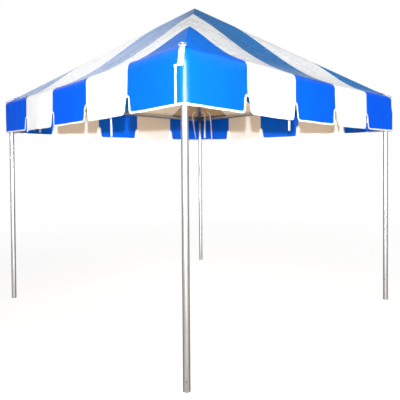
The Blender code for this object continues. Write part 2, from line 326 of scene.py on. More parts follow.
# layers are (cover, colour) over the look's own two shades, and relief is (height, strength, depth in
# metres), from the finest to the broadest
def finishMaterial(add, look, cloud, layers, relief, rough, shader):
    skin = add("Mix", {"Factor": cloud, "A": hexColour(look["colour"]), "B": hexColour(look["shade"])},
               data_type="RGBA")
    for cover, colour in layers:
        skin = add("Mix", {"Factor": cover, "A": (skin, "Result"), "B": hexColour(colour)}, data_type="RGBA")
    inputs = {**shader, "Base Color": (skin, "Result"), "Roughness": rough}
    for height, strength, depth in relief:
        below = {"Normal": inputs["Normal"]} if "Normal" in inputs else {}
        inputs["Normal"] = add("Bump", {"Strength": strength, "Distance": depth, "Height": height, **below})
    add("OutputMaterial", [add("BsdfPrincipled", inputs)])


# vinyl-coated polyester: a glossy plastic skin over a woven scrim, so the threads and the
# welded seams show as low relief, and broad creases break up the shine
def vinylCloth(name, look):
    material, add = newMaterial(name)
    coords = add("TexCoord")
    where, cloth = (coords, "Object"), (coords, "UV")
    place = add("SeparateXYZ", [where])
    sizes = [add("Math", [(place, way)], "ABSOLUTE") for way in ("X", "Y")]
    across = add("Math", sizes, "MINIMUM")
    outward = add("Math", sizes, "MAXIMUM")
    gaps = []
    for seam in (innerSeam, outerSeam):
        gap = add("Math", [across, seam], "SUBTRACT")
        gaps.append(add("Math", [gap], "ABSOLUTE"))
    toSeam = add("Math", gaps, "MINIMUM")
    if look["hips"]:
        toHip = add("Math", [outward, across], "SUBTRACT")
        toHip = add("Math", [toHip, diagonal], "MULTIPLY")
        toSeam = add("Math", [toSeam, toHip], "MINIMUM")
    # welded lap, 25 mm wide
    lap = add("MapRange", [toSeam, 0.0105, 0.0135, 1.0, 0.0], **smoothRamp)
    # two rows of stitches, 6 mm each side of the seam, one stitch each 7 mm
    run = add("Math", [outward, (place, "Z")], "SUBTRACT")
    thread = addStitches(add, toSeam, run, 0.006, 0.0006, 0.0013, 0.007, 0.0050)
    sewn = add("Math", [thread, 0.55], "MULTIPLY")
    # the scrim's threads, 1.4 mm apart on real cloth, drawn 3 mm apart so that they show close up
    weave = addWeave(add, cloth, 105.0, 105.0)
    # creases a hand wide, stretched down the slope, and slacker waves as wide as a stripe
    stretch = add("Mapping", {"Vector": cloth, "Scale": (9.0, 2.2, 1.0)})
    creases = add("TexNoise", {"Vector": stretch, "Scale": 1.6, "Detail": 3.0, "Roughness": 0.5,
                               "Distortion": 0.7})
    waves = add("TexNoise", {"Vector": where, "Scale": 2.6, "Detail": 1.0})
    # faint road dust: cloudy, in streaks that run down the cloth
    cloud = add("TexNoise", {"Vector": where, "Scale": 3.4, "Detail": 5.0, "Roughness": 0.6})
    streak = add("Mapping", {"Vector": cloth, "Scale": (26.0, 1.6, 1.0)})
    streaks = add("TexNoise", {"Vector": streak, "Scale": 1.0, "Detail": 3.0})
    grime = add("Math", [cloud, streaks], "MULTIPLY")
    grime = add("MapRange", [grime, 0.18, 0.42, 0.0, look["dust"]])
    rough = add("MapRange", [cloud, 0.3, 0.7, look["roughness"] - 0.05, look["roughness"] + 0.07])
    finishMaterial(
        add, look, cloud, ((grime, "#A79F90"), (sewn, look["thread"])),
        ((weave, look["weave"], 0.00025), (lap, 1.0, 0.0006), (thread, 1.0, 0.0004),
         (creases, look["crease"], 0.012), (waves, look["crease"], 0.030)),
        rough, {"IOR": look["ior"], "Specular IOR Level": look["shine"]})
    return material


blueLook = {"colour": "#005AE6", "shade": "#0055DE", "thread": "#5C93EC", "dust": 0.0, "roughness": 0.34,
            "weave": 0.25, "crease": 0.35, "ior": 1.53, "shine": 0.05, "hips": False}
whiteLook = {**blueLook, "colour": "#F4F4F4", "shade": "#ECECEC", "thread": white, "dust": 0.06,
             "roughness": 0.38, "shine": 0.10}
# the roof's blue is greener and less deep than the valance's and its white a touch brighter; it is smoother
# and shines more at a low angle
roofBlue = {**blueLook, "colour": "#007AC4", "shade": "#0071BA", "roughness": 0.24, "shine": 0.50,
            "crease": 0.10, "dust": 0.04, "hips": True}
roofWhite = {**whiteLook, "colour": "#FAFAF9", "shade": "#F4F4F2", "roughness": 0.28, "shine": 0.48,
             "crease": 0.07, "dust": 0.02, "hips": True}
# the panel over the near corner is cleaner; it is painted a deeper blue, with little shine, standing in for
# the weaker sheen that it shows towards the camera
nearCornerPaintedBlue = {**roofBlue, "colour": "#0070D6", "shade": "#0069CC", "thread": "#2F7FE0", "roughness": 0.40,
              "shine": 0.03, "dust": 0.0}
# the uncoated side: duller, its scrim plainer to see, the white gone to cream
navyBack = {**blueLook, "colour": "#0063EC", "shade": "#0059DA", "thread": "#5B8CE0", "dust": 0.03,
            "roughness": 0.50, "weave": 0.6, "crease": 0.25, "ior": 1.5}
creamBack = {**navyBack, "colour": "#E4E4E5", "shade": "#DCDAD8", "thread": "#EDEBE9", "dust": 0.04,
             "roughness": 0.55, "shine": 0.10}
# the roof's underside is painted shade: a darker blue, and a tan brown for the white, stand for the shade
# under the roof
shadedUnderBlue = {**navyBack, "colour": "#003A92", "shade": "#003484", "hips": True}
shadedUnderWhite = {**creamBack, "colour": "#9B8565", "shade": "#907A5A", "hips": True}
# the white facing is painted tan, as shade under the roof
shadedFacingLook = {**creamBack, "colour": "#C6B393", "shade": "#BBA787"}


def vinylSet(part, *looks):
    # the third and fourth are the back of the first and second
    names = [f"{colour} vinyl {part}" for colour in ("blue", "white")]
    return [vinylCloth(name, look) for name, look in zip(names + [name + " back" for name in names], looks)]


roofMaterials = vinylSet("roof", roofBlue, roofWhite, shadedUnderBlue, shadedUnderWhite)
sideMaterials = vinylSet("valance", blueLook, whiteLook, navyBack, creamBack)
nearCornerPaintedMaterials = [vinylCloth("blue vinyl roof corner", nearCornerPaintedBlue), roofMaterials[1], roofMaterials[2]]
shadedFacingCloth = vinylCloth("white vinyl facing", shadedFacingLook)


# polyester webbing and vinyl binding tape: close ribs across, a softer shine than the vinyl
def ribbedTape(name, look):
    material, add = newMaterial(name)
    coords = add("TexCoord")
    tape = (coords, "UV")
    place = add("SeparateXYZ", [tape])
    ribScale = 0.314 / look["rib"]  # at scale 1 the waves are 0.314 apart
    weave = addWeave(add, tape, ribScale, ribScale / 1.6)
    thread = addStitches(add, (place, "Y"), (place, "X"), look["stitchAt"], 0.0005, 0.0010, 0.006, 0.0042)
    cloud = add("TexNoise", {"Vector": (coords, "Object"), "Scale": 14.0, "Detail": 4.0})
    rough = add("MapRange", {"Value": cloud, "To Min": look["roughness"] - 0.05,
                             "To Max": look["roughness"] + 0.08})
    finishMaterial(add, look, cloud, ((thread, "#C9C4B8"),),
                   ((weave, look["relief"], 0.0005), (thread, 0.8, 0.0004)), rough,
                   {"IOR": 1.5, "Sheen Weight": look["sheen"], "Sheen Roughness": 0.4})
    return material


bindingTape = ribbedTape("white vinyl binding", {
    "colour": "#F6F6F4", "shade": "#EDEDEA", "rib": 0.0012, "stitchAt": 0.0095, "roughness": 0.42,
    "relief": 0.25, "sheen": 0.0})
webbing = ribbedTape("white polyester webbing", {
    "colour": "#F3F2EE", "shade": "#E6E4DD", "rib": 0.0022, "stitchAt": 0.004, "roughness": 0.62,
    "relief": 0.9, "sheen": 0.3})


# drawn aluminium tube: mill finish, fine lines along its length and soft scuffs across them
def drawnTube(name, turn, look):
    material, add = newMaterial(name)
    where = (add("TexCoord"), "Object")
    along = add("Mapping", {"Vector": where, "Rotation": turn})
    fine = add("Mapping", {"Vector": along, "Scale": (620.0, 620.0, 3.0)})
    lines = add("TexNoise", {"Vector": fine, "Scale": 1.0, "Detail": 2.0})
    handled = add("TexNoise", {"Vector": where, "Scale": 7.0, "Detail": 6.0, "Roughness": 0.65})
    scuffSpace = add("Mapping", {"Vector": along, "Scale": (40.0, 40.0, 260.0)})
    scuffs = add("TexNoise", {"Vector": scuffSpace, "Scale": 1.0, "Detail": 2.0})
    marks = add("MapRange", [scuffs, 0.62, 0.72])
    patch = add("MapRange", [handled, 0.52, 0.66])
    worn = add("Math", [marks, patch], "MULTIPLY")
    base = add("MapRange", [lines, 0.3, 0.7, look["roughness"] - 0.06, look["roughness"] + 0.08])
    rough = add("Math", [worn, 0.18, base], "MULTIPLY_ADD")
    finishMaterial(add, look, handled, ((worn, "#8E9194"),), ((lines, 0.25, 0.0002),), rough,
                   {"Metallic": 1.0})
    return material


tubeLook = {"colour": "#DADCDE", "shade": "#C9CCCF", "roughness": 0.26}
rafterTilt = math.atan2(canopy["slope"], math.sqrt(2))
legMetal = drawnTube("drawn aluminium upright", (0, 0, 0), tubeLook)
railMetalX = drawnTube("drawn aluminium along x", (0, quarterAngle, 0), tubeLook)
railMetalY = drawnTube("drawn aluminium along y", (quarterAngle, 0, 0), tubeLook)


# cast aluminium: dull grey in two cloudy tones, with a sandy grain from the mould
def castMetal(name, look):
    material, add = newMaterial(name)
    where = (add("TexCoord"), "Object")
    grain = add("TexNoise", {"Vector": where, "Scale": 520.0, "Detail": 3.0, "Roughness": 0.6})
    cloud = add("TexNoise", {"Vector": where, "Scale": 26.0, "Detail": 4.0})
    rough = add("MapRange", [cloud, 0.3, 0.7, look["roughness"] - 0.08, look["roughness"] + 0.08])
    finishMaterial(add, look, cloud, (), ((grain, 0.5, 0.0004),), rough, {"Metallic": 1.0})
    return material


castFinish = castMetal("sand cast aluminium", {"colour": "#A3A5A4", "shade": "#888A88", "roughness": 0.48})
pinSteel = castMetal("zinc plated steel", {"colour": "#C9CCD0", "shade": "#B4B7BC", "roughness": 0.30})

for name, node in cadNodes.items():
    if name.startswith("leg"):
        metal = legMetal
    elif name in ("rail_front", "rail_back"):
        metal = railMetalX
    elif name.startswith("rail"):
        metal = railMetalY
    elif name.startswith("rafter"):
        heading = math.radians(-45 + 90 * cornerNames.index(name.replace("rafter_", "")))
        tube = Euler((0, rafterTilt - quarterAngle, heading)).to_matrix()
        metal = drawnTube("drawn aluminium " + name, tube.inverted().to_euler(), tubeLook)
    elif "fitting" in name:
        metal = castFinish
    else:
        continue
    node.data.materials.clear()
    node.data.materials.append(metal)


print("roof sheet")
roof = {
    "cell": 0.030,  # grid spacing on the slopes
    "foldRows": 8,
    "foldReach": 0.030,  # how stiffly the cloth leaves the slope
    "foldLift": 0.028,  # and how stiffly it arrives at the eave
    "slack": 0.006,  # broad waves in the cloth
    "pull": 0.0022,  # finer ones that fan out from the peak
    "fan": 15.0,
    "nearRise": 0.040,  # the front right corner's casting carries the cloth higher than the others do
    "nearReach": 1.9,
    "slopeRun": 1.206,  # metres down the slope for each metre out
}


def roofPlane(outward):
    return canopy["railHeight"] + canopy["clothLift"] + canopy["slope"] * (legAxis - outward)


def roofHeight(across, outward):
    length = foldStart - across - canopy["hipFlat"]
    if length < 0.01 or outward > foldStart:
        return roofPlane(outward)
    share = clamp((outward - across - canopy["hipFlat"]) / length)
    # 6.75 brings the curve's deepest point to 1
    return roofPlane(outward) - canopy["sag"] * length * 6.75 * share * share * (1 - share)


def rise(x, y):
    fromCorner = math.hypot(x - eave, y + eave)
    return roof["nearRise"] * (1 - smoothStep(fromCorner, 0.0, roof["nearReach"]))


def foldPoint(share, lift=0.0):
    # outward and height on the curve that takes the slope round to the eave
    start = Vector((foldStart, roofPlane(foldStart) + lift))
    end = Vector((eave, eaveHeight))
    away = Vector((1, -0.43)).normalized() * roof["foldReach"]
    handles = (start, start + away, end + Vector((0, roof["foldLift"] + lift)), end)
    weights = ((1 - share) ** 3, 3 * share * (1 - share) ** 2, 3 * share ** 2 * (1 - share), share ** 3)
    return sum((h * w for h, w in zip(handles, weights)), Vector((0, 0)))


def ringPlaces():
    # how far out each ring of the grid lies, and its share of the fold where it is on that
    stops = (0.0, innerSeam, outerSeam, foldStart - canopy["hipFlat"], legAxis, foldStart)
    places = [(0.0, None)]
    for start, end in zip(stops, stops[1:]):
        count = max(1, round((end - start) / roof["cell"]))
        places += [(start + (end - start) * k / count, None) for k in range(1, count + 1)]
    for step in range(1, roof["foldRows"] + 1):
        share = step / roof["foldRows"]
        places.append((foldPoint(share).x, share))
    return places


def slack(x, y):
    # gentle waves in the sheet, none where the frame holds it
    across, outward = sorted((abs(x), abs(y)))
    offHip = smoothStep(outward - across, 0.03, 0.26)
    held = offHip * smoothStep(1.45 - outward, 0.0, 0.16) * smoothStep(outward, 0.06, 0.3)
    broad = noise.noise(Vector((x * 1.9, y * 1.9, 4.3))) * roof["slack"]
    angle = math.atan2(across, outward)
    wander = 1.4 * noise.noise(Vector((x * 1.3, y * 1.3, 9.1)))
    return held * (broad + math.sin(angle * roof["fan"] + wander) * roof["pull"])


def clothHeight(along, outward, quarter):
    # height of the roof sheet over a point of one side
    x, y, z = quarterTurn((along, -outward, 0), quarter)
    return roofHeight(abs(along), outward) + slack(x, y) + rise(x, y)


def roundCorner(outward, across):
    # a ring's corner is rounded near the eave, less so further in
    radius = max(cornerRound - (eave - outward), 0.0)
    start = outward - radius
    if radius <= 0 or across <= start:
        return outward, across
    angle = math.radians(45) * (across - start) / radius
    return start + radius * math.cos(angle), start + radius * math.sin(angle)


rings = ringPlaces()
lastRing = len(rings) - 1


def roofSpot(i, j):
    outward, fold = rings[max(abs(i), abs(j))]
    across = rings[min(abs(i), abs(j))][0]
    out, along = roundCorner(outward, across)
    x, y = (out, along) if abs(i) >= abs(j) else (along, out)
    x, y = math.copysign(x, i), math.copysign(y, j)
    if fold is None:
        height = roofHeight(across, outward) + slack(x, y) + rise(x, y)
    else:
        height = foldPoint(fold, rise(x, y)).y
    return Vector((x, y, height))


deselectAll()
bpy.ops.mesh.primitive_grid_add(x_subdivisions=2 * lastRing, y_subdivisions=2 * lastRing, size=2 * lastRing)
roofSheet = newPiece("roof_sheet")
editAll(
    lambda: bpy.ops.mesh.bisect(plane_co=(0, 0, 0), plane_no=(1, -1, 0)),
    lambda: bpy.ops.mesh.bisect(plane_co=(0, 0, 0), plane_no=(1, 1, 0)),
    lambda: bpy.ops.mesh.remove_doubles(threshold=0.001),
)
for vertex in roofSheet.data.vertices:
    vertex.co = roofSpot(round(vertex.co.x), round(vertex.co.y))
uvs = roofSheet.data.uv_layers.active.data
for face in roofSheet.data.polygons:
    centre = face.center
    sideways = abs(centre.x) > abs(centre.y)
    across, outward = sorted((abs(centre.x), abs(centre.y)))
    # counted through the roof's four materials, the side's four and then the near corner's painted deeper
    # blue
    first = len(roofMaterials) if outward > foldStart + 0.010 else 0
    face.material_index = first + (1 if innerSeam < across < outerSeam else 0)
    # only the front right corner's outer panel, the one nearest the camera, takes the painted deeper blue
    if first == 0 and across >= outerSeam and centre.x > 0 > centre.y:
        face.material_index = len(roofMaterials + sideMaterials)
    for corner in face.loop_indices:
        spot = roofSheet.data.vertices[roofSheet.data.loops[corner].vertex_index].co
        along, out = (spot.y, abs(spot.x)) if sideways else (spot.x, abs(spot.y))
        uvs[corner].uv = (along, out * roof["slopeRun"])
# the underside takes the third and fourth materials, which are painted shade
thicken(roofSheet, canopy["cloth"], material_offset=2, use_even_offset=True)
finishPiece(roofSheet, roofMaterials + sideMaterials + nearCornerPaintedMaterials, 32)
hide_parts(*[n for n in cadNodes if n.startswith("roof_")])


print("valance")
valance = {
    "foot": 1.872,
    "drop": 0.309,  # from the eave to the foot, cut flat
    "cutShare": 0.96,  # what the notches leave of it
    "notchHeight": 0.122,
    "notchRound": 0.020,
    "notchFoot": 0.028,
    "tabRound": 0.038,
    "flatEnd": 1.452,  # where a bound edge stops
    "endRound": 0.012,
    "endRise": 0.03,
    "underFlap": 0.006,  # how far its tape runs up under the roof's flap
    "lap": 0.170,  # how far the next side's cloth runs on behind it
    "behind": 0.004,  # and how much further in it lies
    "tuck": 0.0022,  # the top edge sits inside the roof's hem
    "tuckTop": 0.014,
    "flapFoot": 2.122,  # the roof's hem comes down to here over each corner
    "cell": 0.030,
    "plainRows": (0.140, 0.160, 0.182, 0.205, 0.228, 0.270),  # heights above the foot, over the notches
    "swing": 0.0055,  # slack waves, this high at the foot
    "swingTurn": 15.5,
    "ripple": 0.004,
    "bulge": 0.006,  # and the whole foot stands out this far
    "free": (1.02, 1.30),  # the waves die away between these distances from the side's middle
    "droop": (0.000, -0.034, 0.010, -0.005),  # how far the foot is off level at each corner
    "belly": -0.018,  # and how much lower it hangs between them
    "flare": 0.010,  # the back right corner's foot stands out
    "tapeWidth": 0.0125,
    "tapeThickness": 0.0034,
    "tapeBevel": 0.0008,
}
# whether each side's cloth turns the corner at its near end and at its far end, going round
# from the front; where it doesn't, it stops short with a bound edge and the next side's laps under it
turnsCorner = ((True, False), (True, True), (False, False), (True, False))
notchHeight, notchRound, notchFoot, tabRound = [valance[size] for size in (
    "notchHeight", "notchRound", "notchFoot", "tabRound")]
notchBottom = notchHeight - notchRound  # where the notch's round top begins
arcLength = cornerRound * math.pi / 2
wrapEnd = legAxis + arcLength + valance["lap"]


def notchHalf(height):
    # half the gap between two tabs, at a height above the foot
    if height >= notchHeight:
        return 0.0
    if height >= notchBottom:
        return math.sqrt(max(notchRound ** 2 - (height - notchBottom) ** 2, 0))
    if height >= tabRound:
        return notchRound + (notchBottom - height) / (notchBottom - tabRound) * (notchFoot - notchRound)
    below = 1 - height / tabRound
    return notchFoot + tabRound * (1 - math.sqrt(max(1 - below * below, 0)))


def tabHeights():
    # heights above the foot: round the tab's corner, up the notch, over its top, on to the hem
    heights = [tabRound * (1 - math.cos(math.radians(90 * k / 9))) for k in range(9)]
    heights += [tabRound + (notchBottom - tabRound) * k / 5 for k in range(5)]
    heights += [notchBottom + notchRound * math.sin(math.radians(90 * k / 7)) for k in range(8)]
    heights += [*valance["plainRows"], valance["flapFoot"] - valance["foot"]]
    hem = eaveHeight - valance["foot"]
    heights += [hem - 0.010, hem - 0.005, hem - 0.001, hem + 0.003, hem + valance["tuckTop"]]
    return sorted(heights)


def endOf(quarter, hand):
    return wrapEnd if turnsCorner[quarter][hand] else valance["flatEnd"]


def sidePath(s):
    # (along, outward) and the way that faces out, at s metres from a side's middle
    if abs(s) <= legAxis:
        return (s, eave), (0.0, 1.0)
    sign = math.copysign(1.0, s)
    beyond = abs(s) - legAxis
    if beyond < arcLength:
        angle = beyond / cornerRound
        tight = cornerRound - valance["behind"] * smoothStep(angle, 0.15, 0.9)
        spot = (sign * (legAxis + tight * math.sin(angle)), legAxis + tight * math.cos(angle))
        return spot, (sign * math.sin(angle), math.cos(angle))
    return (sign * (eave - valance["behind"]), legAxis - (beyond - arcLength)), (sign, 0.0)


def downShare(z):
    return clamp((eaveHeight - z) / (eaveHeight - valance["foot"]))


def droop(quarter, s):
    share = clamp(s / eave / 2 + 0.5)
    ends = valance["droop"][quarter - 1], valance["droop"][quarter]
    return ends[0] + (ends[1] - ends[0]) * share + valance["belly"] * 4 * share * (1 - share)


def hang(quarter, s, z):
    # how far the cloth stands out: a slack wave that grows towards the foot
    down = downShare(z)
    free = 1 - smoothStep(abs(s), *valance["free"])
    turned = s * valance["swingTurn"] + 2.1 * quarter + 1.3 * math.sin(s * 3.1 + quarter)
    wave = math.sin(turned) * valance["swing"]
    wave += noise.noise(Vector((s * 4.0, z * 3.0, quarter * 7.0))) * valance["ripple"]
    out = free * (wave * down ** 1.4 + valance["bulge"] * down * down)
    if (quarter == 1 and s > 0) or (quarter == 2 and s < 0):
        out += valance["flare"] * smoothStep(abs(s), 1.30, 1.46) * smoothStep(down, 0.15, 0.45)
    return out - valance["tuck"] * smoothStep(z, eaveHeight - 0.005, eaveHeight + 0.001)


def valanceSpot(quarter, s, z, lift=0.0):
    (along, outward), (alongOut, outOut) = sidePath(s)
    push = hang(quarter, s, z) + lift
    along, outward = along + alongOut * push, outward + outOut * push
    return quarterTurn((along, -outward, z + droop(quarter, s) * downShare(z)), quarter)


def stripGrid(name, columns, rows, spot, uvOf):
    # a flat grid whose points are carried to spot(column, row)
    deselectAll()
    bpy.ops.mesh.primitive_grid_add(x_subdivisions=columns, y_subdivisions=rows, size=2)
    strip = newPiece(name)
    steps = [(round((v.co.x + 1) / 2 * columns), round((v.co.y + 1) / 2 * rows)) for v in strip.data.vertices]
    uvs = strip.data.uv_layers.active.data
    for corner in strip.data.loops:
        uvs[corner.index].uv = uvOf(*steps[corner.vertex_index])
    for vertex, (column, row) in zip(strip.data.vertices, steps):
        vertex.co = spot(column, row)
    return strip


def joinPieces(pieces, name, weld=0.0):
    deselectAll()
    for piece in pieces:
        piece.select_set(True)
    bpy.context.view_layer.objects.active = pieces[0]
    bpy.ops.object.join()
    if weld:
        editAll(lambda: bpy.ops.mesh.remove_doubles(threshold=weld))
    return newPiece(name)


def addValance(quarter):
    edges = (-endOf(quarter, 0), -outerSeam, -innerSeam, innerSeam, outerSeam, endOf(quarter, 1))
    heights = tabHeights()
    panels = []
    for left, right in zip(edges, edges[1:]):
        columns = max(4, round((right - left) / valance["cell"]))
        spans = []
        for height in heights:
            gap = notchHalf(height)
            low = left + (gap if abs(left) <= outerSeam else 0)
            high = right - (gap if abs(right) <= outerSeam else 0)
            spans.append((low, high))

        def alongAt(column, row):
            low, high = spans[row]
            return low + (high - low) * column / columns

        panel = stripGrid(
            "panel", columns, len(heights) - 1,
            lambda column, row: valanceSpot(quarter, alongAt(column, row), valance["foot"] + heights[row]),
            lambda column, row: (alongAt(column, row), heights[row]),
        )
        for material in sideMaterials:
            panel.data.materials.append(material)
        stripe = 1 if innerSeam < abs(left + right) / 2 < outerSeam else 0
        panel.data.polygons.foreach_set("material_index", [stripe] * len(panel.data.polygons))
        panels.append(panel)
    sheet = joinPieces(panels, "valance_sheet_" + sideNames[quarter], 0.00005)
    thicken(sheet, canopy["cloth"], material_offset=2)
    finishPiece(sheet, smooth=35)
    return sheet


def hemPath(quarter):
    # the lower edge from end to end, notches and all, as (s, height above the foot)
    hem = valance["flapFoot"] - valance["foot"] + valance["underFlap"]
    endRound, endRise = valance["endRound"], valance["endRise"]
    boundEnd = [(0.0, hem - (hem - endRise) * k / 8) for k in range(9)]
    boundEnd += [(endRound * (1 - math.cos(math.radians(a))), endRound * (1 - math.sin(math.radians(a))))
                 for a in (0, 30, 60, 90)]
    heights = [h for h in tabHeights() if h <= notchHeight]
    start, end = -endOf(quarter, 0), endOf(quarter, 1)
    ends = [[(0.0, 0.0)] if turns else boundEnd for turns in turnsCorner[quarter]]
    path = [(start + along, height) for along, height in ends[0]]
    for seam in (-outerSeam, -innerSeam, innerSeam, outerSeam, None):
        last = path[-1][0]
        stop = end - endRound if seam is None else seam - notchHalf(0.0)
        count = round((stop - last) / valance["cell"])
        path += [(last + (stop - last) * k / count, 0.0) for k in range(1, count)]
        if seam is not None:
            path += [(seam - notchHalf(h), h) for h in heights]
            path += [(seam + notchHalf(h), h) for h in reversed(heights[:-1])]
    return path + [(end - along, height) for along, height in reversed(ends[1])]


def thickenTape(tape):
    thicken(tape, valance["tapeThickness"], 0)
    addModifier(tape, "BEVEL", width=valance["tapeBevel"], segments=2, limit_method="ANGLE",
                angle_limit=math.radians(50))


def addBinding(quarter):
    # white tape folded over the whole lower edge and stitched through
    path = [Vector(p) for p in hemPath(quarter)]
    inward = []
    for before, after in zip(path[:1] + path, path[1:] + path[-1:]):
        way = (after - before).normalized()
        inward.append(Vector((-way.y, way.x)))
    run = runLengths(path)
    depths = [-0.0014, -0.0008, 0.004, 0.009, valance["tapeWidth"]]

    def spot(column, row):
        point = path[column] + inward[column] * depths[row]
        return valanceSpot(quarter, point.x, valance["foot"] + point.y, -canopy["cloth"] / 2)

    tape = stripGrid("binding_" + sideNames[quarter], len(path) - 1, len(depths) - 1, spot,
                     lambda column, row: (run[column], depths[row]))
    thickenTape(tape)
    finishPiece(tape, [bindingTape])
    return tape


for quarter, side in enumerate(sideNames):
    sheet = addValance(quarter)
    tape = addBinding(quarter)
    nodes = ["valance_middle_" + side, f"valance_stripe_{side}_left", f"valance_stripe_{side}_right"]
    nodes += ["valance_corner_" + cornerNames[quarter - 1 + hand]
              for hand in (0, 1) if turnsCorner[quarter][hand]]
    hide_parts(*nodes)


print("corner straps and flaps")
closure = {
    "strapWidth": 0.036,
    "strapThickness": 0.0018,
    "strapAside": (-0.010, -0.021),  # how far to the closure's side of the hip it lies, top and foot
    "strapLift": 0.0036,
    "strapTop": 1.505,  # how far out along the hip it starts, at the loop's lower bar
    "strapDrops": (0.0, 0.012, 0.024, 0.036, 0.043),  # its rows below the eave
    "tabRows": ((-0.042, 0.0022), (-0.030, 0.0024), (-0.018, 0.0030), (-0.009, 0.0064),
                (-0.003, 0.0098), (0.002, 0.0100), (0.005, 0.0088)),  # how far past the upper bar, and lift
    "loopTop": 1.445,
    "loopTopHalf": 0.020,
    "loopFootHalf": 0.0245,
    "loopAside": -0.008,
    "loopLift": 0.0050,
    "loopWire": 0.0034,
    "roundIn": (1.40, 1.50),  # between these, out along the hip, its ridge goes over into the round corner
    "levelOut": (1.36, 1.45),  # and between these a strip that bridges the hip comes to lie on the slopes
    "flapFrom": 1.438,  # along the side, where the roof's hem runs on over the closure
    "flapTo": 1.502,
    "flapDrop": 0.050,
    "flapLift": 0.0022,
    "flapSteps": 12,
}


def foldHeight(outward, lift):
    if outward <= foldStart:
        return roofPlane(outward) + lift
    low, high = 0.0, 1.0
    for step in range(24):
        middle = (low + high) / 2
        if foldPoint(middle).x < outward:
            low = middle
        else:
            high = middle
    return foldPoint(low, lift).y


def cornerSpot(outward, aside, lift, drop=0.0, level=0.0):
    # a point over the front right corner: outward along the hip, aside from it towards the right side,
    # lifted off the cloth, and drop metres below the eave where the cloth hangs; level is 1 for
    # something stiff that bridges from the hip and 0 for what follows the slopes beside it
    blend = smoothStep(outward, *closure["roundIn"])
    ring = min(outward + abs(aside) * diagonal * (1 - blend), eave)
    radius = ring - legAxis
    if radius > 0 and abs(aside) < radius * diagonal:
        hip = legAxis + math.sqrt(radius * radius - aside * aside) * diagonal
    else:
        hip = ring - abs(aside) * diagonal
    hip += (outward - hip) * level
    x, y = hip + aside * diagonal, -hip + aside * diagonal
    raised = rise(x, y)
    height = foldHeight(ring, raised)
    steep = (foldHeight(ring - 0.001, raised) - height) / 0.001 if ring < 1.520 else 40.0
    height += (foldHeight(outward, raised) - height) * level
    upright = Vector((steep, 1.0)).normalized()
    away = Vector((diagonal, -diagonal))
    if radius > 0.012:
        away = away.lerp(Vector((x - legAxis, y + legAxis)).normalized(), blend).normalized()
    push = upright.x * lift
    return Vector((x + away.x * push, y + away.y * push, height + upright.y * lift - drop))


def cornerStrip(name, stops, rows, uvWidth):
    # stops: how far out, middle aside, half width, lift and drop of each row across the strip
    def spot(column, row):
        outward, aside, half, lift, drop = stops[column]
        aside += (row / rows * 2 - 1) * half
        return cornerSpot(outward, aside, lift, drop, 1 - smoothStep(outward, *closure["levelOut"]))

    run = runLengths([spot(k, rows // 2) for k in range(len(stops))])
    strip = stripGrid(name, len(stops) - 1, rows, spot,
                      lambda column, row: (run[column], row / rows * uvWidth))
    thicken(strip, closure["strapThickness"])
    return strip, run[-1]


def copyRound(piece, stem, material, smooth=40):
    # the piece at the front right corner, copied with its own mesh to the other three, and all finished;
    # the closure is on the back side at the back right corner, so that copy is mirrored
    piece.name = stem + "front_right"
    piece.data.materials.append(material)
    made = [piece]
    for number, place in ((1, lambda x, y: (x, -y)), (2, lambda x, y: (-x, -y)), (3, lambda x, y: (y, -x))):
        useOnly(piece)
        bpy.ops.object.duplicate()
        twin = newPiece(stem + cornerNames[number])
        for vertex in twin.data.vertices:
            before = rise(*vertex.co.xy)
            vertex.co.x, vertex.co.y = place(vertex.co.x, vertex.co.y)
            vertex.co.z += (rise(*vertex.co.xy) - before) * clamp((vertex.co.z - eaveHeight) / 0.075)
        if number == 1:
            editAll(bpy.ops.mesh.flip_normals)
        made.append(twin)
    for twin in made:
        finishPiece(twin, smooth=smooth)
    return made


half = closure["strapWidth"] / 2
foldPlaces = [foldPoint(k / 14).x for k in range(1, 14)]
strapPlaces = [(outward, 0.0) for outward in foldPlaces if outward > closure["strapTop"]]
strapPlaces += [(eave, drop) for drop in closure["strapDrops"]]
asideTop, asideFoot = closure["strapAside"]
strapStops = []
for k, (outward, drop) in enumerate(strapPlaces):
    share = k / (len(strapPlaces) - 1)
    aside = asideTop + (asideFoot - asideTop) * share
    strapStops.append((outward, aside, half * (0.88 + 0.12 * share), closure["strapLift"], drop))
strap, strapLength = cornerStrip("strap", strapStops, 6, closure["strapWidth"])
for twin in copyRound(strap, "corner_strap_", webbing):
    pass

# a short blue tab sewn to the roof holds the loop's upper bar
tabStops = [(closure["loopTop"] + along, closure["loopAside"], half, lift, 0.0)
            for along, lift in closure["tabRows"]]
tab, tabLength = cornerStrip("tab", tabStops, 4, closure["strapWidth"])
for twin in copyRound(tab, "loop_tab_", sideMaterials[0]):
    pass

# the loop itself is a rectangle of steel wire, wider at its lower bar
deselectAll()
bpy.ops.mesh.primitive_plane_add(size=1.0)
loop = newPiece("loop")
editAll(lambda: bpy.ops.mesh.bevel(offset=0.10, segments=5, affect="VERTICES"),
        lambda: bpy.ops.mesh.delete(type="ONLY_FACE"))
loopLength = closure["strapTop"] - closure["loopTop"]
for vertex in loop.data.vertices:
    share = vertex.co.y + 0.5
    wide = closure["loopTopHalf"] + (closure["loopFootHalf"] - closure["loopTopHalf"]) * share
    aside = closure["loopAside"] + vertex.co.x * 2 * wide
    vertex.co = cornerSpot(closure["loopTop"] + loopLength * share, aside, closure["loopLift"], level=1.0)
useOnly(loop)
bpy.ops.object.convert(target="CURVE")
loop.data.bevel_depth = closure["loopWire"]
loop.data.bevel_resolution = 3
bpy.ops.object.convert(target="MESH")
editAll(lambda: bpy.ops.mesh.remove_doubles(threshold=0.00005),
        lambda: bpy.ops.mesh.normals_make_consistent(inside=False))
copyRound(loop, "corner_loop_", pinSteel, 60)


